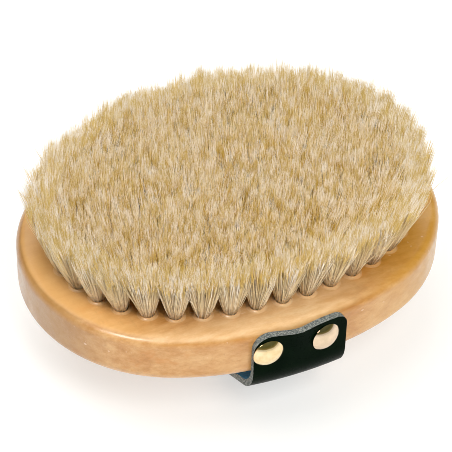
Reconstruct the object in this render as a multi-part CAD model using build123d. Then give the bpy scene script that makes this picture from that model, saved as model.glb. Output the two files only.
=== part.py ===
from build123d import *
from math import asin, cos, degrees, pi, radians, sin, tan
import os

# A body dry brush. It stands on its hand strap with the bristles up. +X runs along the oval
# block, +Y across it, +Z up. The origin is on the ground, under the middle of the block.
# Every dimension is in millimetres, and every angle in degrees.

# The block: an oval of eight tangent arcs, of three radii. Each side arc spans the strap's width.
BLOCK_LENGTH = 160.0
BLOCK_WIDTH = 122.4
BLOCK_HEIGHT = 20.0
SIDE_RADIUS = 142.0
SIDE_HALF_ARC = 7.8
SHOULDER_RADIUS = 101.0
TOP_ROUND = 3.6
BACK_ROUND = 4.2

# The hand strap: up each long side, round under the back, and down to a flat middle.
STRAP_WIDTH = 36.0
STRAP_THICKNESS = 2.6
STRAP_CENTRE_X = -0.3
STRAP_DROP = 28.0
STRAP_RISE = 19.3
STRAP_CORNER_ROUND = 4.5
STRAP_SLOPE = 26.5
STRAP_TURN_DROP = 5.5
STRAP_TURN_RADIUS = 14.0
STRAP_SAG_RADIUS = 40.0

# Domed nails, two through each end of the strap.
NAIL_PLACES_X = {"left": -12.9, "right": 9.3}
NAIL_RISE = 11.9
NAIL_HEAD_DIAMETER = 11.6
NAIL_DOME_HEIGHT = 2.5
NAIL_CAP_THICKNESS = 0.6
NAIL_SHANK_DIAMETER = 1.9
NAIL_LENGTH = 15.0
NAIL_POINT_LENGTH = 3.0

# Tufts, set in rings that follow the outline, and one row along the middle.
TUFT_HOLE_DIAMETER = 4.8
TUFT_HOLE_DEPTH = 12.5
TUFT_ROOT_DIAMETER = 4.7
TUFT_TIP_DIAMETER = 8.8
TUFT_PITCH = 9.75
BRISTLE_TRIM = 24.0
OUTER_RING_INSET = 13.2
RING_STEP = 9.5
RING_SPLAYS = (11.0, 9.0, 7.0, 5.0, 2.5)
OUTER_RING_PHASE = 0.7
MIDDLE_ROW_TUFTS = 5
MIDDLE_ROW_PITCH = 9.1

# Flat wire anchors: each tuft is folded in two round one, and its ends bite into the wood.
ANCHOR_WIDTH = 5.5
ANCHOR_THICKNESS = 0.45
ANCHOR_HEIGHT = 1.8
ANCHOR_RISE = 1.5

# Places that follow from the sizes above.
BACK_Z = STRAP_DROP
TOP_Z = STRAP_DROP + BLOCK_HEIGHT
BRISTLE_Z = TOP_Z + BRISTLE_TRIM
SIDE_CENTRE_Y = SIDE_RADIUS - BLOCK_WIDTH / 2
STRAP_OUTER_U = BLOCK_WIDTH / 2 + STRAP_THICKNESS


def outline(inset=0.0):
    """The closed outline, or a curve parallel to it, inset by a distance."""
    lean = radians(SIDE_HALF_ARC)
    shoulder_x = (SIDE_RADIUS - SHOULDER_RADIUS) * sin(lean)
    shoulder_y = (SIDE_RADIUS - SHOULDER_RADIUS) * cos(lean) - SIDE_CENTRE_Y
    spare = BLOCK_LENGTH / 2 - shoulder_x - SHOULDER_RADIUS
    radius_drop = -(shoulder_y**2 + spare**2) / (2 * spare)
    end_radius = SHOULDER_RADIUS - radius_drop
    end_half_arc = degrees(asin(-shoulder_y / radius_drop))
    end_x = BLOCK_LENGTH / 2 - end_radius
    shoulder_arc = 90 - SIDE_HALF_ARC - end_half_arc
    end = CenterArc((end_x, 0), end_radius - inset, -end_half_arc, 2 * end_half_arc)
    side = CenterArc((0, -SIDE_CENTRE_Y), SIDE_RADIUS - inset, 90 - SIDE_HALF_ARC, 2 * SIDE_HALF_ARC)
    centre = (shoulder_x, shoulder_y)
    shoulder = CenterArc(centre, SHOULDER_RADIUS - inset, end_half_arc, shoulder_arc)
    upper = [shoulder, side, shoulder.mirror(Plane.YZ)]
    lower = [edge.mirror(Plane.XZ) for edge in upper]
    return Wire([end, *upper, end.mirror(Plane.YZ), *lower])


def block_blank():
    """The oval block before drilling."""
    blank = extrude(make_face(outline()), BLOCK_HEIGHT)
    blank = fillet(blank.edges().group_by(Axis.Z)[-1], TOP_ROUND)
    blank = fillet(blank.edges().group_by(Axis.Z)[0], BACK_ROUND)
    return Pos(0, 0, BACK_Z) * blank


def ring_frames(number):
    """One frame for each tuft of a ring: origin on the block's top, Z along the leaning tuft."""
    inset = OUTER_RING_INSET + number * RING_STEP
    path = outline(inset)
    count = round(path.length / TUFT_PITCH)
    phase = OUTER_RING_PHASE + number / 2
    splay = radians(RING_SPLAYS[number])
    frames = []
    for i in range(count):
        where = ((i + phase) / count) % 1.0
        along = path % where
        outward = along.cross(Vector(0, 0, 1))
        if outward.dot(path @ where) < 0:
            outward = outward * -1
        leaning = Vector(0, 0, 1) * cos(splay) + outward * sin(splay)
        frames.append(Plane(path @ where + Vector(0, 0, TOP_Z), x_dir=along, z_dir=leaning))
    return frames


def middle_frames():
    """The upright tufts of the middle row."""
    first = -(MIDDLE_ROW_TUFTS - 1) / 2 * MIDDLE_ROW_PITCH
    places = [first + i * MIDDLE_ROW_PITCH for i in range(MIDDLE_ROW_TUFTS)]
    return [Plane(Vector(x, 0, TOP_Z), x_dir=(0, 1, 0), z_dir=(0, 0, 1)) for x in places]


def upright(bottom_radius, top_radius, low, high):
    """A round bar or cone along Z, from low to high."""
    if bottom_radius == top_radius:
        bar = Cylinder(bottom_radius, high - low)
    else:
        bar = Cone(bottom_radius, top_radius, high - low)
    return Pos(0, 0, (low + high) / 2) * bar


def anchor():
    """The flat wire anchor, in its tuft's own frame."""
    centre_z = -TUFT_HOLE_DEPTH + ANCHOR_RISE + ANCHOR_HEIGHT / 2
    return Pos(0, 0, centre_z) * Box(ANCHOR_WIDTH, ANCHOR_THICKNESS, ANCHOR_HEIGHT)


def tuft():
    """A tuft with its fold round the anchor, longer than its trim, in its own frame."""
    root_radius = TUFT_ROOT_DIAMETER / 2
    flare = (TUFT_TIP_DIAMETER / 2 - root_radius) / BRISTLE_TRIM
    spare = 3.0
    height = BRISTLE_TRIM + spare
    root = upright(root_radius, root_radius, -TUFT_HOLE_DEPTH, 0)
    brush = upright(root_radius, root_radius + flare * height, 0, height)
    return root + brush - anchor()


def tuft_hole():
    """What one tuft and its anchor take out of the block."""
    radius = TUFT_HOLE_DIAMETER / 2
    return upright(radius, radius, -TUFT_HOLE_DEPTH, radius) + anchor()


def tuft_group(frames):
    """The tufts of one ring or row, trimmed level."""
    trim = Pos(0, 0, BRISTLE_Z / 2) * Box(2 * BLOCK_LENGTH, 2 * BLOCK_WIDTH, BRISTLE_Z)
    model = tuft()
    return [(frame.location * model) & trim for frame in frames]


def anchor_group(frames):
    """The anchors of one ring or row."""
    model = anchor()
    return [frame.location * model for frame in frames]


def strap_line(inset):
    """Half of the strap's section, inset from its outer face, as distance from the plan centre."""
    slope = radians(STRAP_SLOPE)
    turn_z = BACK_Z - STRAP_TURN_DROP
    sag_u = STRAP_OUTER_U - turn_z / tan(slope)
    corners = (
        (STRAP_OUTER_U - inset, BACK_Z + STRAP_RISE),
        (STRAP_OUTER_U - inset, turn_z + inset * tan(pi / 4 - slope / 2)),
        (sag_u - inset * tan(slope / 2), inset),
        (0, inset),
    )
    points = [(u + SIDE_CENTRE_Y, z) for u, z in corners]
    return FilletPolyline(*points, radius=(STRAP_TURN_RADIUS - inset, STRAP_SAG_RADIUS - inset))


def strap_half():
    """The strap's end at -Y, which follows the block's curved side, wider than its cut width."""
    outer = strap_line(0.0)
    inner = strap_line(STRAP_THICKNESS)
    ends = [Line(outer @ i, inner @ i) for i in (0, 1)]
    section = Plane.XZ * make_face([outer, ends[0], inner, ends[1]])
    reach = 32.0
    swept = revolve(section, Axis.Z, reach)
    return Pos(0, SIDE_CENTRE_Y, 0) * Rot(0, 0, -90 - reach / 2) * swept


def hand_strap(nails):
    """One leather strap, nailed to both long sides of the block."""
    half = strap_half()
    height = BACK_Z + STRAP_RISE
    cut = Rectangle(STRAP_WIDTH, 2 * height)
    cut = fillet(cut.vertices(), STRAP_CORNER_ROUND)
    width_cut = extrude(Plane.XZ * cut, BLOCK_WIDTH, both=True)
    whole = half + half.mirror(Plane.XZ)
    return whole & (Pos(STRAP_CENTRE_X, 0, 0) * width_cut) - nails


def nail():
    """A domed nail: a hollow cap on a pointed shank. Its rim is at Z = 0, its point below."""
    rim = NAIL_HEAD_DIAMETER / 2
    sphere_radius = (rim**2 + NAIL_DOME_HEIGHT**2) / (2 * NAIL_DOME_HEIGHT)
    sphere_z = NAIL_DOME_HEIGHT - sphere_radius
    cap = Pos(0, 0, sphere_z) * (Sphere(sphere_radius) - Sphere(sphere_radius - NAIL_CAP_THICKNESS))
    cap = cap & (Pos(0, 0, NAIL_DOME_HEIGHT) * Box(4 * rim, 4 * rim, 2 * NAIL_DOME_HEIGHT))
    radius = NAIL_SHANK_DIAMETER / 2
    neck_z = NAIL_DOME_HEIGHT - NAIL_CAP_THICKNESS / 2
    point_z = -NAIL_LENGTH + NAIL_POINT_LENGTH
    shank = upright(radius, radius, point_z, neck_z)
    point = upright(0, radius, -NAIL_LENGTH, point_z)
    return cap + shank + point


def nail_frame(x, side):
    """Where a nail's rim meets the leather: side is -1 for the -Y end and 1 for the +Y end."""
    reach = STRAP_OUTER_U + SIDE_CENTRE_Y
    lean = asin(x / reach)
    outward = Vector(sin(lean), side * cos(lean), 0)
    rim = Vector(0, -side * SIDE_CENTRE_Y, BACK_Z + NAIL_RISE) + outward * reach
    return Plane(rim, x_dir=(0, 0, 1), z_dir=outward)


def make_nodes():
    """Every node's solids, by name."""
    nodes = {}
    frames = {f"ring_{n + 1}": ring_frames(n) for n in range(len(RING_SPLAYS))}
    frames["middle_row"] = middle_frames()
    nails = {}
    for end, side in (("front", -1), ("back", 1)):
        for place, x in NAIL_PLACES_X.items():
            nails[f"strap_nail_{end}_{place}"] = nail_frame(x, side).location * nail()
    every_frame = [frame for group in frames.values() for frame in group]
    hole = tuft_hole()
    holes = [frame.location * hole for frame in every_frame]
    nodes["wood_block"] = [block_blank() - holes - list(nails.values())]
    nodes["hand_strap"] = [hand_strap(list(nails.values()))]
    for name, solid in nails.items():
        nodes[name] = [solid]
    for name, group in frames.items():
        nodes[f"tufts_{name}"] = tuft_group(group)
        nodes[f"anchors_{name}"] = anchor_group(group)
    return nodes


def write_nodes(nodes):
    """One STEP file for each node."""
    os.makedirs("parts", exist_ok=True)
    for name, shapes in nodes.items():
        solids = [solid for shape in shapes for solid in shape.solids()]
        whole = Compound(label=name, children=solids) if len(solids) > 1 else solids[0]
        whole.label = name
        export_step(whole, f"parts/{name}.step")
        print(f"{name}: {len(solids)} solids")


write_nodes(make_nodes())
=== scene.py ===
"""The looks of a body dry brush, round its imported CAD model. Lengths are in metres."""
from math import cos, pi, radians, sin, sqrt, tan

import bpy
import numpy as np
from mathutils import Matrix, Vector


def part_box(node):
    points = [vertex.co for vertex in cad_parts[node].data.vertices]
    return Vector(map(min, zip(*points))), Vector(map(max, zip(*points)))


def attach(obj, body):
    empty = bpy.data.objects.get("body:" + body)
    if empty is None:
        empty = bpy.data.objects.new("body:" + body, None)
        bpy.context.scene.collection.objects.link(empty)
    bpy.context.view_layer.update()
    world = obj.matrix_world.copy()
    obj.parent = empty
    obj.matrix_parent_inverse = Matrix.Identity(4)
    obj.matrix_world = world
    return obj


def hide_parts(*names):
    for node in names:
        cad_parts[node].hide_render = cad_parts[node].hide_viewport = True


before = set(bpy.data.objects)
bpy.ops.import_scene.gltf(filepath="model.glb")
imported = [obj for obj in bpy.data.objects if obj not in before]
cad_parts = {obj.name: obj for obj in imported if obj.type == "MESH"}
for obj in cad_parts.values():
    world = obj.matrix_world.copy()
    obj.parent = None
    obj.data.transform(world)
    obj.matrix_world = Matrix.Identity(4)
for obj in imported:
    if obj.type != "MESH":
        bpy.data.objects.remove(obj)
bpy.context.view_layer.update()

MM = 0.001
SEED = 20

# ---------------------------------------------------------------- camera and light

CAMERA_AZIMUTH = radians(-24.84)
CAMERA_ELEVATION = radians(41.29)
CAMERA_ROLL = radians(1.55)
CAMERA_DISTANCE = 0.8
CAMERA_TARGET = (0.0062, 0.0164)
CAMERA_LENS = 166.95
LIGHT_TARGET = (0, 0, 0.04)
FILTER_WIDTH = 0.9
SENSOR_WIDTH = 36.0
CAMERA_CLIP = (0.05, 20.0)


def make_camera(target_z):
    """The camera looks at a point at the height of the block's back, with a slight roll."""
    azimuth, elevation, roll = CAMERA_AZIMUTH, CAMERA_ELEVATION, CAMERA_ROLL
    back = np.array([sin(azimuth) * cos(elevation), -cos(azimuth) * cos(elevation), sin(elevation)])
    right = np.array([cos(azimuth), sin(azimuth), 0.0])
    up = np.cross(back, right)
    rolled_right = right * cos(roll) + up * sin(roll)
    rolled_up = up * cos(roll) - right * sin(roll)
    place = np.array([*CAMERA_TARGET, target_z]) + back * CAMERA_DISTANCE
    columns = np.stack([rolled_right, rolled_up, back, place], 1)
    data = bpy.data.cameras.new("camera")
    data.sensor_width = SENSOR_WIDTH
    data.lens = CAMERA_LENS
    data.clip_start, data.clip_end = CAMERA_CLIP
    camera = bpy.data.objects.new("camera", data)
    bpy.context.scene.collection.objects.link(camera)
    camera.matrix_world = Matrix([*columns.tolist(), (0, 0, 0, 1)])
    bpy.context.scene.camera = camera


def make_area_light(name, place, size, power, colour, in_gloss=True, in_matt=True):
    """A square soft box that faces the brush. It may be left out of reflections, or be seen
    in nothing else."""
    data = bpy.data.lights.new(name, "AREA")
    data.size = size
    data.energy = power
    data.color = colour
    light = bpy.data.objects.new(name, data)
    bpy.context.scene.collection.objects.link(light)
    back = Vector(place) - Vector(LIGHT_TARGET)
    light.rotation_mode = "QUATERNION"
    light.rotation_quaternion = back.to_track_quat("Z", "Y")
    light.location = place
    light.visible_glossy = in_gloss
    light.visible_diffuse = in_matt


def make_world():
    """A pale room whose upper part is dim, so that what is polished shows a dark ceiling."""
    world = bpy.data.worlds.new("world")
    world.use_nodes = True
    tree = world.node_tree
    direction = add(tree, "TexCoord").outputs["Generated"]
    height = add(tree, "SeparateXYZ", {"Vector": direction}).outputs["Z"]
    shade = ramp(
        tree,
        height,
        (
            (0.00, (0.88, 0.88, 0.89)),
            (0.08, (0.78, 0.79, 0.81)),
            (0.15, (0.24, 0.22, 0.10)),
            (0.32, (0.10, 0.11, 0.05)),
            (1.00, (0.16, 0.18, 0.12)),
        ),
    )
    background = tree.nodes["Background"]
    tree.links.new(shade, background.inputs["Color"])
    background.inputs["Strength"].default_value = 1.0
    bpy.context.scene.world = world


def make_lights():
    """Soft boxes overhead, in front, behind and left, and one that makes only highlights."""
    make_area_light("overhead", (-0.26, 0.12, 0.98), 0.8, 7.3, (1.0, 0.99, 0.98), in_gloss=False)
    make_area_light("key", (0.0, -0.75, 0.95), 0.45, 9.0, (1.0, 0.99, 0.97), in_gloss=False)
    make_area_light("highlight", (-0.72, -0.46, 0.84), 0.32, 8.6, (1.0, 0.98, 0.96), in_matt=False)
    make_area_light("behind", (0.42, 0.90, 0.85), 0.9, 3.0, (1.0, 0.99, 0.97))
    make_area_light("fill_left", (-0.70, 0.45, 0.85), 0.6, 0.9, (1.0, 0.99, 0.98), in_gloss=False)
    make_world()


# ---------------------------------------------------------------- node helpers


def new_material(name):
    """An empty node material with its Principled shader."""
    material = bpy.data.materials.new(name)
    material.use_nodes = True
    tree = material.node_tree
    shader = tree.nodes["Principled BSDF"]
    return material, tree, shader


def add(tree, kind, inputs=(), **settings):
    """A node with its settings and its inputs, each a number or another node's socket."""
    node = tree.nodes.new("ShaderNode" + kind)
    for name, value in settings.items():
        setattr(node, name, value)
    for name, value in dict(inputs).items():
        if isinstance(value, bpy.types.NodeSocket):
            tree.links.new(value, node.inputs[name])
        else:
            node.inputs[name].default_value = value
    return node


def ramp(tree, factor, stops):
    """A colour ramp with (place, colour) stops."""
    node = add(tree, "ValToRGB", {"Fac": factor})
    elements = node.color_ramp.elements
    while len(elements) < len(stops):
        elements.new(0.5)
    for element, (place, colour) in zip(elements, stops):
        element.position = place
        element.color = (*colour, 1)
    return node.outputs["Color"]


def ramp_value(tree, factor, low, high, low_value=0.0, high_value=1.0):
    """A smooth step of a factor between two places."""
    node = add(
        tree,
        "MapRange",
        {"Value": factor, "From Min": low, "From Max": high, "To Min": low_value, "To Max": high_value},
        interpolation_type="SMOOTHSTEP",
    )
    return node.outputs["Result"]


def mix(tree, factor, first, second, blend="MIX"):
    """A mix of two colours."""
    node = add(tree, "Mix", data_type="RGBA", blend_type=blend)
    for socket, value in ((node.inputs[0], factor), (node.inputs[6], first), (node.inputs[7], second)):
        if isinstance(value, bpy.types.NodeSocket):
            tree.links.new(value, socket)
        elif isinstance(value, tuple):
            socket.default_value = (*value, 1)
        else:
            socket.default_value = value
    return node.outputs[2]


def noise(tree, scale_xyz, detail=4.0, roughness=0.5, seed=0.0):
    """Noise in the object's own coordinates, with a scale for each axis, in cycles per metre."""
    place = add(tree, "TexCoord").outputs["Object"]
    mapped = add(tree, "Mapping", {"Vector": place, "Scale": scale_xyz, "Location": (seed, seed, seed)})
    node = add(
        tree,
        "TexNoise",
        {"Vector": mapped.outputs["Vector"], "Scale": 1.0, "Detail": detail, "Roughness": roughness},
    )
    return node.outputs["Fac"]


def product(tree, first, second):
    """One value times another."""
    return add(tree, "Math", {0: first, 1: second}, operation="MULTIPLY").outputs["Value"]


def bump(tree, shader, height, strength, distance):
    """A bump on the shader's normal."""
    node = add(tree, "Bump", {"Height": height, "Strength": strength, "Distance": distance})
    tree.links.new(node.outputs["Normal"], shader.inputs["Normal"])


# ---------------------------------------------------------------- materials

# Where the wood changes colour: from and to along X or Y, or in depth below the top.
# Both ends carry painted shade, the left of the top a painted pool of light, and its front a painted
# sheen.
RIGHT_PAINTED_SHADE_X = (15 * MM, 65 * MM)
LEFT_PAINTED_SHADE_X = (-79 * MM, -60 * MM)
LEFT_PAINTED_LIGHT_X = (-68 * MM, -35 * MM)
PAINTED_LIGHT_DEPTH = (0.7 * MM, 0.1 * MM)
PAINTED_SHEEN_X = (5 * MM, 45 * MM)
PAINTED_SHEEN_Y = (-56 * MM, -40 * MM)
PAINTED_SHEEN_DEPTH = (2 * MM, 0.2 * MM)


def wood_material(name, painted_highlight=0.0):
    """Light, close-grained wood with amber clouds, under a clear gloss varnish. It is browner at its
    ends, as painted shade, and paler along the front and left of its top, as a painted sheen and a
    painted pool of light. Its last argument mixes in a paler wood, as a painted highlight."""
    material, tree, shader = new_material(name)
    top_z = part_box("wood_block")[1].z
    clouds = noise(tree, (30, 55, 55), detail=5, roughness=0.62, seed=2.0)
    streaks = noise(tree, (110, 380, 380), detail=6, roughness=0.68)
    blend = mix(tree, 0.36, clouds, streaks)
    place = add(tree, "SeparateXYZ", {"Vector": add(tree, "TexCoord").outputs["Object"]})
    x, y, z = [place.outputs[axis] for axis in "XYZ"]
    base = ramp(
        tree,
        blend,
        (
            (0.35, (0.43, 0.165, 0.030)),
            (0.44, (0.57, 0.260, 0.065)),
            (0.51, (0.65, 0.335, 0.115)),
            (0.61, (0.76, 0.450, 0.195)),
        ),
    )
    rays = noise(tree, (1100, 260, 1100), detail=2, roughness=0.6, seed=7.7)
    flecked = mix(tree, ramp_value(tree, rays, 0.52, 0.78, 0.0, 0.30), base, (0.44, 0.20, 0.06))
    rust = noise(tree, (45, 80, 80), detail=4, roughness=0.7, seed=5.2)
    amber = mix(tree, ramp_value(tree, rust, 0.55, 0.70, 0.0, 0.55), flecked, (0.62, 0.23, 0.03))
    # Painted shade: the right end turns darker and more orange, and the left end browner.
    right_painted_shade = ramp_value(tree, x, *RIGHT_PAINTED_SHADE_X, 0.0, 0.58)
    left_painted_shade = ramp_value(tree, x, *LEFT_PAINTED_SHADE_X, 0.80, 0.0)
    with_right_shade = mix(tree, right_painted_shade, amber, (0.64, 0.315, 0.020))
    ends = mix(tree, left_painted_shade, with_right_shade, (0.37, 0.178, 0.045))
    near_top = ramp_value(tree, z, *[top_z - depth for depth in PAINTED_SHEEN_DEPTH])
    near_front = ramp_value(tree, y, *PAINTED_SHEEN_Y, 0.74, 0.0)
    near_middle = ramp_value(tree, x, *PAINTED_SHEEN_X, 1.0, 0.0)
    # A painted pool of light: the left end of the flat top turns paler and more orange.
    painted_light_left = ramp_value(tree, x, *LEFT_PAINTED_LIGHT_X, 0.72, 0.0)
    flat_top = ramp_value(tree, z, *[top_z - depth for depth in PAINTED_LIGHT_DEPTH])
    painted_light_mask = product(tree, painted_light_left, flat_top)
    with_painted_light = mix(tree, painted_light_mask, ends, mix(tree, 0.55, ends, (1.0, 0.58, 0.22)))
    # A painted sheen: the front of the top, towards its middle, turns paler.
    painted_sheen_mask = product(tree, product(tree, near_front, near_middle), near_top)
    painted_sheen_colour = ramp(tree, streaks, ((0.36, (0.88, 0.55, 0.27)), (0.62, (1.0, 0.72, 0.43))))
    with_painted_sheen = mix(tree, painted_sheen_mask, with_painted_light, painted_sheen_colour)
    specks = noise(tree, (330, 420, 420), detail=1, seed=11.3)
    colour = mix(tree, ramp_value(tree, specks, 0.76, 0.81, 0.0, 0.45), with_painted_sheen, (0.90, 0.70, 0.50))
    # Mixing in this paler wood gives a painted highlight, used on the tuft-hole lips.
    tree.links.new(mix(tree, painted_highlight, colour, (0.88, 0.66, 0.42)), shader.inputs["Base Color"])
    smears = noise(tree, (60, 160, 160), detail=4, seed=9.0)
    tree.links.new(ramp_value(tree, smears, 0.35, 0.7, 0.34, 0.50), shader.inputs["Roughness"])
    shader.inputs["Coat Weight"].default_value = 0.6
    shader.inputs["Coat Roughness"].default_value = 0.22
    waves = noise(tree, (180, 260, 260), detail=7, roughness=0.72, seed=4.0)
    bump(tree, shader, waves, 0.30, 0.0010)
    return material


def leather_material():
    """Smooth black leather with a fine grain and a cool sheen."""
    material, tree, shader = new_material("strap_leather")
    tone = noise(tree, (160, 160, 160), detail=4)
    colour = ramp(tree, tone, ((0.3, (0.0012, 0.0042, 0.0010)), (0.7, (0.0026, 0.0074, 0.0022))))
    tree.links.new(colour, shader.inputs["Base Color"])
    rough = ramp_value(tree, noise(tree, (700, 700, 700), detail=3), 0.3, 0.7, 0.26, 0.36)
    tree.links.new(rough, shader.inputs["Roughness"])
    shader.inputs["IOR"].default_value = 1.075
    shader.inputs["Specular Tint"].default_value = (0.22, 0.65, 1.0, 1)
    bump(tree, shader, noise(tree, (2200, 2200, 2200), detail=2), 0.10, 0.0002)
    return material


def cut_edge_material():
    """The raw grey fibres of the leather's cut edge."""
    material, tree, shader = new_material("strap_cut_edge")
    fibres = noise(tree, (1500, 1500, 1500), detail=5, roughness=0.7)
    colour = ramp(
        tree,
        fibres,
        ((0.32, (0.03, 0.042, 0.045)), (0.48, (0.14, 0.16, 0.16)), (0.64, (0.40, 0.42, 0.40))),
    )
    tree.links.new(colour, shader.inputs["Base Color"])
    shader.inputs["Roughness"].default_value = 0.9
    bump(tree, shader, fibres, 0.6, 0.0004)
    return material


def flesh_side_material():
    """The strap's inner face: suede, coloured blue as a painted reflection."""
    material, tree, shader = new_material("strap_flesh_side_painted_reflection")
    nap = noise(tree, (900, 900, 900), detail=5, roughness=0.65)
    # Painted reflection: the face is coloured blue for the blue sheen it shows.
    colour = ramp(tree, nap, ((0.32, (0.006, 0.115, 0.34)), (0.68, (0.024, 0.25, 0.58))))
    tree.links.new(colour, shader.inputs["Base Color"])
    shader.inputs["Roughness"].default_value = 0.85
    bump(tree, shader, nap, 0.5, 0.0003)
    return material


BRASS_TONES = {
    "left": ((0.82, 0.62, 0.33), (0.93, 0.75, 0.47)),
    "right": ((0.70, 0.54, 0.38), (0.80, 0.62, 0.45)),
}


def brass_material(side):
    """Polished brass with light scuffs. The nails of one side are a little pinker and duller."""
    material, tree, shader = new_material(f"nail_brass_{side}")
    tone = noise(tree, (300, 300, 300), detail=4)
    darker, lighter = BRASS_TONES[side]
    colour = ramp(tree, tone, ((0.35, darker), (0.65, lighter)))
    tree.links.new(colour, shader.inputs["Base Color"])
    shader.inputs["Metallic"].default_value = 1.0
    scuffs = noise(tree, (900, 260, 900), detail=5, roughness=0.7, seed=5.0)
    tree.links.new(ramp_value(tree, scuffs, 0.50, 0.80, 0.07, 0.30), shader.inputs["Roughness"])
    bump(tree, shader, scuffs, 0.03, 0.0002)
    return material


def steel_material():
    """Plain drawn wire."""
    material, tree, shader = new_material("anchor_steel")
    drawn = noise(tree, (300, 3000, 3000), detail=2)
    colour = ramp(tree, drawn, ((0.3, (0.42, 0.42, 0.43)), (0.7, (0.62, 0.62, 0.63))))
    tree.links.new(colour, shader.inputs["Base Color"])
    shader.inputs["Metallic"].default_value = 1.0
    shader.inputs["Roughness"].default_value = 0.35
    return material


HAIR_UV = "OFBake"
HAIR_V_START = 0.005
HAIR_V_LENGTH = 0.485
HAIR_V_INNER = 0.505
HAIR_V_SPLIT = (0.495, 0.505)


def bristle_material():
    """Natural bristle: U picks each hair's own shade, and V runs from root to tip, once in its lower
    half for the hairs of the brush's rim and once in its upper half for the rest. Low down, both kinds
    are paler, as painted light; just below their tips the rest are darker and more golden, partly paler
    tips and partly painted shade between them."""
    material, tree, shader = new_material("bristle")
    uv = add(tree, "UVMap", uv_map=HAIR_UV).outputs["UV"]
    parts = add(tree, "SeparateXYZ", {"Vector": uv})
    shade, along = parts.outputs["X"], parts.outputs["Y"]
    inner = ramp_value(tree, along, *HAIR_V_SPLIT)
    hair = ramp(
        tree,
        shade,
        (
            (0.00, (0.040, 0.028, 0.015)),
            (0.08, (0.130, 0.080, 0.030)),
            (0.13, (0.560, 0.335, 0.040)),
            (0.38, (0.730, 0.505, 0.120)),
            (0.62, (0.850, 0.680, 0.385)),
            (1.00, (1.000, 0.910, 0.830)),
        ),
    )
    # Painted light: the lower lengths of the rim hairs turn pale and warm, lifting the shade on the
    # tufts' sides.
    rim_painted_light = ramp_value(tree, along, 0.25, 0.46, 0.82, 0.05)
    rim = mix(tree, rim_painted_light, hair, (1.0, 0.81, 0.52))
    # Just below each inner hair's tip the colour turns darker and more golden: partly its own paler
    # tip, partly painted shade between the tips.
    below_tip_shade = ramp_value(tree, along, 0.93, 0.985, 0.45, 0.0)
    # Painted light: the lower lengths of the inner hairs turn pale, lifting the shade between the
    # tufts.
    root_painted_light = ramp_value(tree, along, 0.70, 0.88, 0.70, 0.0)
    inside = mix(tree, root_painted_light, hair, (1.0, 0.84, 0.59))
    golden_and_shaded = mix(tree, below_tip_shade, inside, (0.88, 0.72, 0.42), "MULTIPLY")
    tree.links.new(mix(tree, inner, rim, golden_and_shaded), shader.inputs["Base Color"])
    shader.inputs["Roughness"].default_value = 0.34
    shader.inputs["Sheen Weight"].default_value = 0.25
    shader.inputs["Sheen Roughness"].default_value = 0.4
    return material


def floor_material():
    """A matt studio floor that glows softly from below, as a light table does."""
    material, tree, shader = new_material("studio_floor")
    tone = noise(tree, (6, 6, 6), detail=2)
    colour = ramp(tree, tone, ((0.3, (0.43, 0.43, 0.43)), (0.7, (0.45, 0.45, 0.45))))
    tree.links.new(colour, shader.inputs["Base Color"])
    shader.inputs["Roughness"].default_value = 0.8
    shader.inputs["Emission Color"].default_value = (1, 1, 1, 1)
    shader.inputs["Emission Strength"].default_value = 0.60
    return material


# ---------------------------------------------------------------- mesh helpers


def mesh_object(name, points, faces, materials, face_materials=None):
    """A new smooth-shaded object with that mesh. Faces are rows of point numbers, all of one length."""
    points = np.asarray(points, np.float32)
    faces = np.asarray(faces, np.int32)
    count, corners = faces.shape
    mesh = bpy.data.meshes.new(name)
    mesh.vertices.add(len(points))
    mesh.vertices.foreach_set("co", points.ravel())
    mesh.loops.add(count * corners)
    mesh.loops.foreach_set("vertex_index", faces.ravel())
    mesh.polygons.add(count)
    mesh.polygons.foreach_set("loop_start", np.arange(count, dtype=np.int32) * corners)
    if face_materials is not None:
        mesh.polygons.foreach_set("material_index", np.asarray(face_materials, np.int32))
    mesh.polygons.foreach_set("use_smooth", np.full(count, True))
    mesh.update(calc_edges=True)
    mesh.validate()
    for material in materials:
        mesh.materials.append(material)
    piece = bpy.data.objects.new(name, mesh)
    bpy.context.scene.collection.objects.link(piece)
    return piece


def grid_faces(rows, columns, close_rows=False, close_columns=False):
    """Quads over a grid of rows by columns of points, closed round either way."""
    r = np.arange(rows if close_rows else rows - 1)
    c = np.arange(columns if close_columns else columns - 1)
    r, c = [a.ravel() for a in np.meshgrid(r, c, indexing="ij")]
    r2, c2 = (r + 1) % rows, (c + 1) % columns
    return np.stack([r * columns + c, r * columns + c2, r2 * columns + c2, r2 * columns + c], 1)


def apply_modifiers(piece):
    """Replaces the piece's mesh with its evaluated one."""
    graph = bpy.context.evaluated_depsgraph_get()
    mesh = bpy.data.meshes.new_from_object(piece.evaluated_get(graph))
    piece.modifiers.clear()
    piece.data = mesh


def finish_piece(piece, slot, *nodes):
    """The piece rides on the body and stands for CAD nodes, which it hides. Its slot is not used."""
    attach(piece, "root")
    if nodes:
        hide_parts(*nodes)


# ---------------------------------------------------------------- the bristles

TUFT_RINGS = ("ring_1", "ring_2", "ring_3", "ring_4", "ring_5", "middle_row")
TUFTS_PER_PIECE = 14
BOX_CORNERS = 24
HAIRS_PER_TUFT = 840
HAIR_RADIUS = 0.135 * MM
HAIR_THICKNESSES = (0.6, 1.5)
HAIR_STATIONS = (0.0, 0.34, 0.75, 1.0)
HAIR_WIDTHS = (0.65, 1.0, 0.85)
HAIR_ROOT_SPREAD = 1.75 * MM
HAIR_TIP_SPREAD = 6.1 * MM
HAIR_TIP_SCATTER = 0.8 * MM
HAIR_SUNK = 2.0 * MM
HAIR_FLARE = 1.35
HAIR_BEND = 0.5 * MM
HAIR_HEIGHT_SCATTER = 0.35 * MM
STRAY_SHARE = 0.03
STRAY_BEND = 2.4 * MM
SHORT_SHARE = 0.35
SHORT_BY = 0.9 * MM

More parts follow.
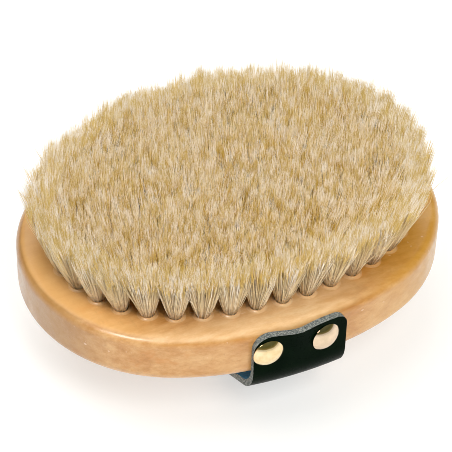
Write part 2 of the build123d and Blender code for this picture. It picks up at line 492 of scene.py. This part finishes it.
# Wisps: small groups of hairs whose tips lean together, with a height and a shade in common.
WISPS_PER_TUFT = 150
WISP_PULL = 0.6
WISP_PULLS = (0.4, 1.2)
WISP_HEIGHT = 0.48 * MM
WISP_BEND = 0.8 * MM
WISP_SHADE = 0.46

# The whole field of tips: its slow swell and drift, its lean along X and Y, and the waves of
# its trimmed outline as (heading in degrees, width in degrees, shift in mm).
FIELD_WAVES = 12
FIELD_SIZES = (0.6, 1.6)
FIELD_GAIN = 1.3
SWELL_SIZE = 28 * MM
SWELL_HEIGHT = 0.5 * MM
DRIFT_SIZE = 34 * MM
DRIFT_REACH = 0.7 * MM
HAIR_LEAN = (0.3 * MM, 0.9 * MM)
TRIM_WAVES = ((139, 26, -6.0), (22, 10, -1.4), (-12, 14, -2.0))
TRIM_REACH = 60 * MM

# Shades run from 0, dark, to 1, ivory.
SHADE_MIDDLE = 0.55
SHADE_PATCH = 0.06
SHADE_SCATTER = 0.14
SHADE_RANGE = (0.13, 0.98)
SMALL_PATCHES = 6 * MM
LARGE_PATCHES = 20 * MM
LARGE_PATCH_SHARE = 0.5
# Dark hairs: painted shade for the gaps between the tips.
DARK_SHARE = 0.012
DARK_WISP = -0.95
DARK_RANGE = (0.02, 0.10)
RIM_DARKEST = 0.27


def tuft_frames(node, top_z):
    """Each tuft's place on the block's top, its direction, and two directions across it, read
    from the flat anchors in the tufts' folds, which are boxes."""
    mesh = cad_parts[node].data
    points = np.zeros(len(mesh.vertices) * 3, np.float32)
    mesh.vertices.foreach_get("co", points)
    boxes = points.reshape(-1, BOX_CORNERS, 3).astype(float)
    frames = []
    for box in boxes:
        centre = box.mean(0)
        axes = np.linalg.svd(box - centre)[2]
        along, leaning = axes[0], axes[1]
        if leaning[2] < 0:
            leaning = -leaning
        place = centre + leaning * (top_z - centre[2]) / leaning[2]
        frames.append((place, leaning, along, np.cross(leaning, along)))
    return [np.array(column) for column in zip(*frames)]


def smooth_field(places, wavelength, seed):
    """A smooth random field over the plane, about -1 to 1, made of a few waves."""
    random = np.random.default_rng(seed)
    total = np.zeros(len(places))
    for _ in range(FIELD_WAVES):
        turn = random.uniform(0, 2 * pi)
        size = wavelength * random.uniform(*FIELD_SIZES)
        phase = random.uniform(0, 2 * pi)
        reach = places[:, 0] * cos(turn) + places[:, 1] * sin(turn)
        total += np.sin(reach * 2 * pi / size + phase)
    return total / sqrt(FIELD_WAVES) * FIELD_GAIN


def in_disc(random, shape):
    """Random points, evenly spread over a disc of radius 1."""
    radius = np.sqrt(random.uniform(0, 1, shape))
    angle = random.uniform(0, 2 * pi, shape)
    return np.stack([radius * np.cos(angle), radius * np.sin(angle)], -1)


def hair_lines(random, tufts, top_z, tip_z):
    """The stations of every hair's middle line, from inside its hole to its tip, and how much
    paler than usual its wisp is. Hairs lean together in small wisps."""
    place, leaning, along, across = tufts
    owner = np.repeat(np.arange(len(place)), HAIRS_PER_TUFT)
    count = len(owner)
    wisp_shape = (len(place), WISPS_PER_TUFT)
    root = in_disc(random, count)
    tip = root * HAIR_TIP_SPREAD + random.normal(0, HAIR_TIP_SCATTER, (count, 2))
    root = root * HAIR_ROOT_SPREAD
    wisps = in_disc(random, wisp_shape) * HAIR_TIP_SPREAD
    nearest = np.linalg.norm(wisps[owner] - tip[:, None], axis=2).argmin(1)
    wisp = wisps[owner, nearest]
    wisp_height = random.normal(0, WISP_HEIGHT, wisp_shape)[owner, nearest]
    wisp_bend = random.normal(0, WISP_BEND, (*wisp_shape, 2))[owner, nearest]
    wisp_shade = random.normal(0, WISP_SHADE, wisp_shape)[owner, nearest]
    pull = WISP_PULL * random.uniform(*WISP_PULLS, count)[:, None]
    length = (tip_z - top_z) / leaning[owner, 2]
    stray = (random.uniform(0, 1, count) < STRAY_SHARE) * STRAY_BEND
    bend = wisp_bend + random.normal(0, 1, (count, 2)) * (HAIR_BEND + stray)[:, None]
    wiggle = random.normal(0, HAIR_BEND, (count, 2))
    curl = random.normal(0, HAIR_BEND, (count, 2))
    short = np.abs(random.normal(0, SHORT_BY, count)) * (random.uniform(0, 1, count) < SHORT_SHARE)
    height = tip_z + wisp_height + random.normal(0, HAIR_HEIGHT_SCATTER, count) - short
    lines = []
    for t in HAIR_STATIONS:
        # High powers of t keep the gathering and the curl near the tips.
        offset = root + (tip - root) * (1 - (1 - t) ** HAIR_FLARE)
        offset = offset + (wisp - offset) * pull * t**6 + bend * t**2.5
        offset = offset + wiggle * t * sin(pi * t) + curl * t**6
        line = place[owner] + leaning[owner] * (length * t - HAIR_SUNK * (1 - t))[:, None]
        line = line + along[owner] * offset[:, :1] + across[owner] * offset[:, 1:]
        lines.append(line)
    tips = lines[-1]
    swell = smooth_field(tips, SWELL_SIZE, SEED + 1) * SWELL_HEIGHT
    level = [smooth_field(tips, DRIFT_SIZE, SEED + n) * DRIFT_REACH + HAIR_LEAN[n - 2] for n in (2, 3)]
    drift = np.stack([*level, height + swell - tips[:, 2]], 1)
    drift[:, :2] += trim_outline(tips)
    for t, line in zip(HAIR_STATIONS, lines):
        line += drift * np.array([t**2, t**2, t])
    return owner, lines, wisp_shade


def trim_outline(tips):
    """How far the hand-trimmed outline departs from an even oval, as a shift of each tip."""
    reach = np.hypot(tips[:, 0], tips[:, 1])
    outward = tips[:, :2] / np.maximum(reach, MM)[:, None]
    heading = np.degrees(np.arctan2(tips[:, 1], tips[:, 0]))
    shift = np.zeros(len(tips))
    for centre, width, depth in TRIM_WAVES:
        turn = (heading - centre + 180) % 360 - 180
        shift += depth * MM * np.exp(-((turn / width) ** 2))
    fade = np.clip(reach / TRIM_REACH, 0, 1) ** 3
    return outward * (shift * fade)[:, None]


def hair_shades(random, tips, wisp_shade):
    """Each hair's own shade, in soft patches and small wisps, with a few dark hairs as painted shade of
    the gaps between tips.
    """
    count = len(tips)
    patches = smooth_field(tips, SMALL_PATCHES, SEED + 4)
    patches = patches + LARGE_PATCH_SHARE * smooth_field(tips, LARGE_PATCHES, SEED + 5)
    own = random.normal(0, SHADE_SCATTER, count)
    shade = np.clip(SHADE_MIDDLE + SHADE_PATCH * patches + wisp_shade + own, *SHADE_RANGE)
    dark = (random.uniform(0, 1, count) < DARK_SHARE) | (wisp_shade < DARK_WISP)
    shade[dark] = random.uniform(*DARK_RANGE, dark.sum())
    return shade


def hair_faces(stations):
    """The triangles of one hair: a three-sided prism that ends in a point."""
    faces = [(0, 2, 1)]
    for k in range(stations - 2):
        for j in range(3):
            a, b = 3 * k + j, 3 * k + (j + 1) % 3
            faces += [(a, b, b + 3), (a, b + 3, a + 3)]
    last = 3 * (stations - 2)
    faces += [(last + j, last + (j + 1) % 3, last + 3) for j in range(3)]
    return np.array(faces)


def bristle_piece(name, random, tufts, top_z, tip_z, material, rim):
    """All the hairs of some tufts, as one mesh of thin tapered prisms. The rim has no dark hairs."""
    _, _, along, across = tufts
    owner, lines, wisp_shade = hair_lines(random, tufts, top_z, tip_z)
    count = len(owner)
    spin = random.uniform(0, 2 * pi, count)
    turns = (spin[:, None] + np.arange(3) * 2 * pi / 3)[..., None]
    around = along[owner][:, None] * np.cos(turns) + across[owner][:, None] * np.sin(turns)
    thick = HAIR_RADIUS * random.uniform(*HAIR_THICKNESSES, count)[:, None, None]
    rings = [line[:, None] + around * thick * width for line, width in zip(lines, HAIR_WIDTHS)]
    points = np.concatenate([*rings, lines[-1][:, None]], 1)
    faces = hair_faces(len(HAIR_STATIONS))
    all_faces = (np.arange(count)[:, None, None] * points.shape[1] + faces).reshape(-1, 3)
    piece = mesh_object(name, points.reshape(-1, 3), all_faces, [material])
    station = np.repeat(HAIR_STATIONS, [3] * len(HAIR_WIDTHS) + [1])
    uv = np.zeros((count, len(faces), 3, 2), np.float32)
    shades = hair_shades(random, lines[-1], wisp_shade)
    if rim:
        shades = np.maximum(shades, RIM_DARKEST)
    uv[..., 0] = shades[:, None, None]
    uv[..., 1] = HAIR_V_START + HAIR_V_LENGTH * station[faces][None] + HAIR_V_INNER * (not rim)
    piece.data.uv_layers.new(name=HAIR_UV).data.foreach_set("uv", uv.ravel())
    return piece


def make_bristles(material):
    """The hairs of every ring, in pieces of a few tufts each."""
    top_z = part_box("wood_block")[1].z
    tip_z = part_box("tufts_ring_1")[1].z
    for ring in TUFT_RINGS:
        random = np.random.default_rng(SEED + TUFT_RINGS.index(ring))
        tufts = tuft_frames(f"anchors_{ring}", top_z)
        pieces = -(-len(tufts[0]) // TUFTS_PER_PIECE)
        for number, chosen in enumerate(np.array_split(np.arange(len(tufts[0])), pieces)):
            some = [column[chosen] for column in tufts]
            name = f"bristles_{ring}_{number + 1}"
            rim = ring == TUFT_RINGS[0]
            piece = bristle_piece(name, random, some, top_z, tip_z, material, rim)
            finish_piece(piece, "bristle", f"tufts_{ring}")


# ---------------------------------------------------------------- the strap

SIDE_CENTRE_Y = 80.8 * MM
STRAP_THICKNESS = 2.6 * MM
STRAP_SLOPE = radians(26.5)
STRAP_TURN_DROP = 5.5 * MM
STRAP_TURN_RADIUS = 14.0 * MM
STRAP_SAG_RADIUS = 40.0 * MM
STRAP_LEFT_CORNER = 6.5 * MM
STRAP_RIGHT_CORNER = 4.5 * MM
STRAP_STRAIGHT_PART = 0.25
STRAP_SOFTNESS = 0.4 * MM
STRAP_COLUMNS = 61
STRAP_TOP_ROWS = 30
STRAP_TOP_CROWDING = 1.7
STRAP_TURN_ROWS = 26
STRAP_SAG_ROWS = 16
STRAP_SLOPE_ROWS = 16
STRAP_FLAT_ROWS = 8

# The leather's swell between its nails, its dip round each, and its hand-cut top edge.
SWELL_DEPTH = 0.8 * MM
SWELL_WIDTH = 6 * MM
SWELL_RISE = 17 * MM
SWELL_LIMIT = 1.2
DIP_DEPTH = 0.22 * MM
DIP_WIDTH = 6.3 * MM
CUT_RISE = 0.4 * MM
CUT_HOLLOW = 1.7
CUT_WIDTH = 7.5 * MM


def strap_side_line(top_z, back_z, outer_u):
    """Half of the strap's outer face, from its top edge to the middle: distance from the
    middle, height, and the outward direction's angle above level."""
    turn_z = back_z - STRAP_TURN_DROP
    sag_u = outer_u - turn_z / tan(STRAP_SLOPE)
    full_turn = pi / 2 - STRAP_SLOPE
    turn_start_z = turn_z + STRAP_TURN_RADIUS * tan(full_turn / 2)
    flat_u = sag_u - STRAP_SAG_RADIUS * tan(STRAP_SLOPE / 2)
    ease = np.linspace(0, 1, STRAP_TOP_ROWS) ** STRAP_TOP_CROWDING
    line = [(outer_u, top_z + (turn_start_z - top_z) * e, 0.0) for e in ease]
    for angle in np.linspace(0, full_turn, STRAP_TURN_ROWS)[1:]:
        u = outer_u - STRAP_TURN_RADIUS * (1 - cos(angle))
        line.append((u, turn_start_z - STRAP_TURN_RADIUS * sin(angle), -angle))
    sag = [
        (flat_u + STRAP_SAG_RADIUS * cos(a), STRAP_SAG_RADIUS * (1 - sin(a)), -a)
        for a in np.linspace(full_turn, pi / 2, STRAP_SAG_ROWS)
    ]
    start = line[-1]
    line += [
        (start[0] + (sag[0][0] - start[0]) * t, start[1] + (sag[0][1] - start[1]) * t, start[2])
        for t in np.linspace(0, 1, STRAP_SLOPE_ROWS)[1:-1]
    ]
    line += sag
    line += [(u, 0.0, -pi / 2) for u in np.linspace(flat_u, 0, STRAP_FLAT_ROWS)[1:]]
    return np.array(line)


def strap_wave(x, rise, nails_x, nail_rise):
    """How far the leather stands off the wall, by place across it and height above the back:
    it swells between its nails towards its free edge, and dips round each nail."""
    upper = np.clip(rise / SWELL_RISE, 0, SWELL_LIMIT) ** 2
    middle = sum(nails_x) / 2
    swell = SWELL_DEPTH * np.exp(-(((x - middle) / SWELL_WIDTH) ** 2)) * upper
    dips = 0
    for nail_x in nails_x:
        gap = ((x - nail_x) / DIP_WIDTH) ** 2 + ((rise - nail_rise) / DIP_WIDTH) ** 2
        dips = dips - DIP_DEPTH * np.exp(-(gap**2))
    return swell + dips


def strap_lip(x, nails_x):
    """How far the hand-cut top edge rises and falls across the strap."""
    middle = sum(nails_x) / 2
    return CUT_RISE * (1 - CUT_HOLLOW * np.exp(-(((x - middle) / CUT_WIDTH) ** 2)))


def make_strap(leather, cut_edge, flesh_side):
    """The leather strap, in the place of its CAD solid, with soft waves and raw cut edges."""
    low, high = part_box("hand_strap")
    back_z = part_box("wood_block")[0].z
    outer_u = high.y
    centre_x = (low.x + high.x) / 2
    half_width = (high.x - low.x) / 2
    half = strap_side_line(high.z, back_z, outer_u)
    nails = [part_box(f"strap_nail_front_{side}") for side in ("left", "right")]
    nails_x = [(a.x + b.x) / 2 for a, b in nails]
    nail_rise = (nails[0][0].z + nails[0][1].z) / 2 - back_z
    rows = [(-1, *p) for p in half] + [(1, *p) for p in half[-2::-1]]
    side, u, z, angle = np.array(rows).T
    across = np.linspace(-1, 1, STRAP_COLUMNS)
    corners = (STRAP_LEFT_CORNER, STRAP_LEFT_CORNER, STRAP_RIGHT_CORNER, STRAP_RIGHT_CORNER)
    corner = np.interp(across, (-1, -0.02, 0.02, 1), corners)[None]
    inside_corner = np.clip(corner - (high.z - z)[:, None], 0, corner)
    narrowing = corner - np.sqrt(corner**2 - inside_corner**2)
    x = centre_x + across[None] * (half_width - narrowing)
    # The strap follows the wall's curve at its ends, and runs straight under the middle.
    follow = np.clip((u / outer_u - STRAP_STRAIGHT_PART) / (1 - STRAP_STRAIGHT_PART), 0, 1)
    follow = (follow * follow * (3 - 2 * follow))[:, None]
    radius = (u + SIDE_CENTRE_Y)[:, None]
    bulge = (np.sqrt(radius**2 - x**2) - radius) * follow
    lean = np.arcsin(x / radius) * follow
    level = np.cos(angle)[:, None]
    upright = np.sin(angle)[:, None] + 0 * x
    normal = np.stack([level * np.sin(lean), side[:, None] * level * np.cos(lean), upright], 2)
    rise = np.clip(z - back_z, 0, None)[:, None] + 0 * x
    near_top = (rise / rise.max()) ** 3
    lip = strap_lip(x, nails_x) * near_top
    place = np.stack([x, side[:, None] * (u[:, None] + bulge), z[:, None] + lip], 2)
    outer = place + normal * strap_wave(x, rise, nails_x, nail_rise)[..., None]
    inner = outer - normal * STRAP_THICKNESS
    count, columns = x.shape
    section = np.concatenate([outer, inner[:, ::-1]], 1)
    faces = grid_faces(count, 2 * columns, close_columns=True)
    column = faces[:, 0] % (2 * columns)
    edge = (column == columns - 1) | (column == 2 * columns - 1)
    # Each face's material: 0 for the leather's face, 1 for its cut edge, 2 for its flesh side.
    kinds = np.where(edge, 1, np.where(column < columns - 1, 0, 2))
    first = np.arange(columns - 1)
    cap = np.stack([first, 2 * columns - 1 - first, 2 * columns - 2 - first, first + 1], 1)
    last_row = (count - 1) * 2 * columns
    caps = np.concatenate([cap, cap[:, ::-1] + last_row])
    all_faces = np.concatenate([faces, caps])
    kinds = np.concatenate([kinds, np.ones(len(caps), int)])
    materials = [leather, cut_edge, flesh_side]
    strap = mesh_object("leather_strap", section.reshape(-1, 3), all_faces, materials, kinds)
    bevel = strap.modifiers.new("soft_edges", "BEVEL")
    bevel.width = STRAP_SOFTNESS
    bevel.segments = 3
    bevel.limit_method = "ANGLE"
    bevel.angle_limit = radians(50)
    apply_modifiers(strap)
    finish_piece(strap, "strap_leather", "hand_strap")


# ---------------------------------------------------------------- the nails

NAIL_HEAD_RADIUS = 5.8 * MM
NAIL_DOME = 2.5 * MM
NAIL_CAP = 0.6 * MM
NAIL_SHANK = 0.95 * MM
NAIL_LENGTH = 15.0 * MM
NAIL_POINT = 3 * MM
NAIL_RIM_ROUND = 0.1 * MM
NAIL_RIM_DROP = 0.02 * MM
NAIL_SIDES = 96
NAIL_UNDER_ROWS = 12
NAIL_DOME_ROWS = 30
NAIL_TILTS = {"left": radians(3), "right": radians(6)}
NAIL_SEED = SEED + 60

# The dome's faint spun ring, and its dents. Both keep off the rim, below the dome's start.
NAIL_RING_RADIUS = 1.5 * MM
NAIL_RING_DEPTH = 0.012 * MM
NAIL_RING_WIDTH = 0.25 * MM
NAIL_DENTS = 6
DENT_REACH = 4.5 * MM
DENT_DEPTHS = (0.01 * MM, 0.05 * MM)
DENT_WIDTH = 1.5 * MM
DOME_START = 0.2 * MM


def nail_profile():
    """The nail's outline, from its point up the shank, under the cap and over the dome."""
    sphere = (NAIL_HEAD_RADIUS**2 + NAIL_DOME**2) / (2 * NAIL_DOME)
    centre = NAIL_DOME - sphere
    under = sphere - NAIL_CAP
    start = np.arcsin(NAIL_SHANK / under)
    end = np.arccos(-centre / under)
    outline = [(NAIL_SHANK * part, NAIL_POINT * part - NAIL_LENGTH) for part in (0, 0.5, 1)]
    under_turns = np.linspace(start, end, NAIL_UNDER_ROWS)
    outline += [(under * sin(a), centre + under * cos(a)) for a in under_turns]
    outline += [(NAIL_HEAD_RADIUS - NAIL_RIM_ROUND, -NAIL_RIM_DROP)]
    rim = np.arccos(-centre / sphere)
    dome_turns = np.linspace(rim, 0, NAIL_DOME_ROWS)[:-1]
    outline += [(sphere * sin(a), centre + sphere * cos(a)) for a in dome_turns]
    return np.array([*outline, (0, NAIL_DOME)])


def make_nail(end, side, material, random):
    """A domed nail with slight dents and a faint spun ring, in the place of its CAD solid, and
    a little tilted."""
    node = f"strap_nail_{end}_{side}"
    low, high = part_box(node)
    sign = 1 if high.y > 0 and low.y > 0 else -1
    apex_x = high.x if abs(high.x) > abs(low.x) else low.x
    rim_x = apex_x - np.sign(apex_x) * NAIL_HEAD_RADIUS
    reach = SIDE_CENTRE_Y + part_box("hand_strap")[1].y
    facing = np.arcsin(rim_x / reach)
    tilt = facing + NAIL_TILTS[side]
    rim = np.array([rim_x, sign * (reach * cos(facing) - SIDE_CENTRE_Y), (low.z + high.z) / 2])
    outward = np.array([sin(tilt), sign * cos(tilt), 0.0])
    up = np.array([0, 0, 1.0])
    level = np.cross(up, outward)
    profile = nail_profile()
    turns = np.arange(NAIL_SIDES) * 2 * pi / NAIL_SIDES
    r, h = profile[:, :1], profile[:, 1:]
    dents = np.zeros((len(profile), NAIL_SIDES))
    for _ in range(NAIL_DENTS):
        spot_radius = random.uniform(0, DENT_REACH)
        spot_turn = random.uniform(0, 2 * pi)
        gap = (r * np.cos(turns) - spot_radius * cos(spot_turn)) ** 2
        gap = gap + (r * np.sin(turns) - spot_radius * sin(spot_turn)) ** 2
        dents -= random.uniform(*DENT_DEPTHS) * np.exp(-gap / DENT_WIDTH**2) * (h > DOME_START)
    spun = np.exp(-(((r - NAIL_RING_RADIUS) / NAIL_RING_WIDTH) ** 2)) * (h > DOME_START)
    dents = dents - NAIL_RING_DEPTH * spun
    shape = rim + r[..., None] * (np.cos(turns)[:, None] * level + np.sin(turns)[:, None] * up)
    shape = shape + (h + dents)[..., None] * outward
    faces = grid_faces(len(profile), NAIL_SIDES, close_columns=True)
    nail = mesh_object(f"brass_nail_{end}_{side}", shape.reshape(-1, 3), faces, [material])
    weld = nail.modifiers.new("join_poles", "WELD")
    weld.merge_threshold = 0.01 * MM
    apply_modifiers(nail)
    finish_piece(nail, "nail_brass", node)


# ---------------------------------------------------------------- the block

LIP_RADIUS = 2.75 * MM
LIP_HEIGHT = 0.6 * MM
LIP_REACH = 4.3 * MM
LIP_SUNK = 0.4 * MM
LIP_SIDES = 40
LIP_RINGS = 12
LIP_INNER_RADIUS = 2.3 * MM
LIP_WIDTH = 0.5 * MM
LIP_HEIGHTS = (0.6, 1.2)
LIP_WOBBLE = 0.12
LIP_WOBBLE_WAVES = (1, 2, 3, 5)
LIP_WANDER = 0.06
LIP_FALL = 0.03 * MM
LIP_SEED = SEED + 50


def make_hole_lips(material):
    """The low raised lip that drilling and varnish leave round each outer tuft hole."""
    random = np.random.default_rng(LIP_SEED)
    top_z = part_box("wood_block")[1].z
    place = tuft_frames("anchors_ring_1", top_z)[0]
    turns = np.arange(LIP_SIDES) * 2 * pi / LIP_SIDES
    radii = np.linspace(LIP_INNER_RADIUS, LIP_REACH, LIP_RINGS)
    rows = []
    faces = []
    for n, centre in enumerate(place):
        wobble = sum(
            random.normal(0, LIP_WOBBLE) * np.cos(k * turns + random.uniform(0, 2 * pi))
            for k in LIP_WOBBLE_WAVES
        )
        height = LIP_HEIGHT * random.uniform(*LIP_HEIGHTS) * (1 + wobble)
        crest = LIP_RADIUS * (1 + LIP_WANDER * wobble)
        swell = np.exp(-(((radii[:, None] - crest) / LIP_WIDTH) ** 2))
        lip_z = height * swell - LIP_FALL * np.linspace(-1, 1, LIP_RINGS)[:, None] ** 3
        upper = np.stack([radii[:, None] * np.cos(turns), radii[:, None] * np.sin(turns), lip_z], 2)
        lower = upper[[-1, 0]].copy()
        lower[..., 2] = -LIP_SUNK
        grid = np.concatenate([upper, lower]) + np.array([centre[0], centre[1], top_z])
        rows.append(grid.reshape(-1, 3))
        faces.append(grid_faces(len(grid), LIP_SIDES, True, True) + n * len(grid) * LIP_SIDES)
    lips = mesh_object("tuft_hole_lips", np.concatenate(rows), np.concatenate(faces), [material])
    finish_piece(lips, "varnished_wood")


def dress_node(node, material):
    """Gives a CAD node a material of the scene's own."""
    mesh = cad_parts[node].data
    mesh.materials.clear()
    mesh.materials.append(material)


# ---------------------------------------------------------------- the scene


def make_floor():
    """A wide floor under the brush."""
    reach = 3.0
    corners = [(-reach, -reach, 0), (reach, -reach, 0), (reach, reach, 0), (-reach, reach, 0)]
    floor = mesh_object("studio_floor", corners, [(0, 1, 2, 3)], [floor_material()])


def make_brush():
    """Every piece of the brush."""
    dress_node("wood_block", wood_material("varnished_wood"))
    # The lips' paler wood is a painted highlight of their edges catching the light.
    make_hole_lips(wood_material("hole_lip_painted_highlight", painted_highlight=0.25))
    steel = steel_material()
    for ring in TUFT_RINGS:
        dress_node(f"anchors_{ring}", steel)
    make_strap(leather_material(), cut_edge_material(), flesh_side_material())
    brass = {side: brass_material(side) for side in BRASS_TONES}
    random = np.random.default_rng(NAIL_SEED)
    for end in ("front", "back"):
        for side in ("left", "right"):
            make_nail(end, side, brass[side], random)
    make_bristles(bristle_material())


make_camera(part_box("wood_block")[0].z)
make_lights()
make_floor()
make_brush()
bpy.context.scene.view_settings.view_transform = "Standard"
bpy.context.scene.cycles.filter_width = FILTER_WIDTH
bpy.context.view_layer.update()
